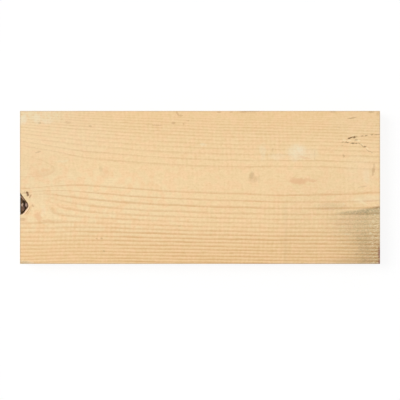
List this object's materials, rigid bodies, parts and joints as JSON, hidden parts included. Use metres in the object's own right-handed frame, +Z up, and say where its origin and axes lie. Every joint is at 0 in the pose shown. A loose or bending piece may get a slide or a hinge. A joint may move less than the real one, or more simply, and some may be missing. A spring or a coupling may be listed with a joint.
{
  "type": "planed softwood board",
  "caption": "Short flat length of planed softwood board with square-sawn ends, softly eased long edges and a dead knot opened by one end cut.",
  "frame": {"origin": "middle of the underside, the face that the board lies on", "axes": "+X along the grain and the length, away from the end with the knot; +Y across the width; +Z up through the thickness, out of the face that shows the knot"},
  "size_m": [0.341, 0.145, 0.021],
  "materials": {
    "spruce": "bare planed softwood with visible growth rings, not oiled or varnished"
  },
  "bodies": {
    "root": {"board": "spruce"}
  },
  "joints": []
}
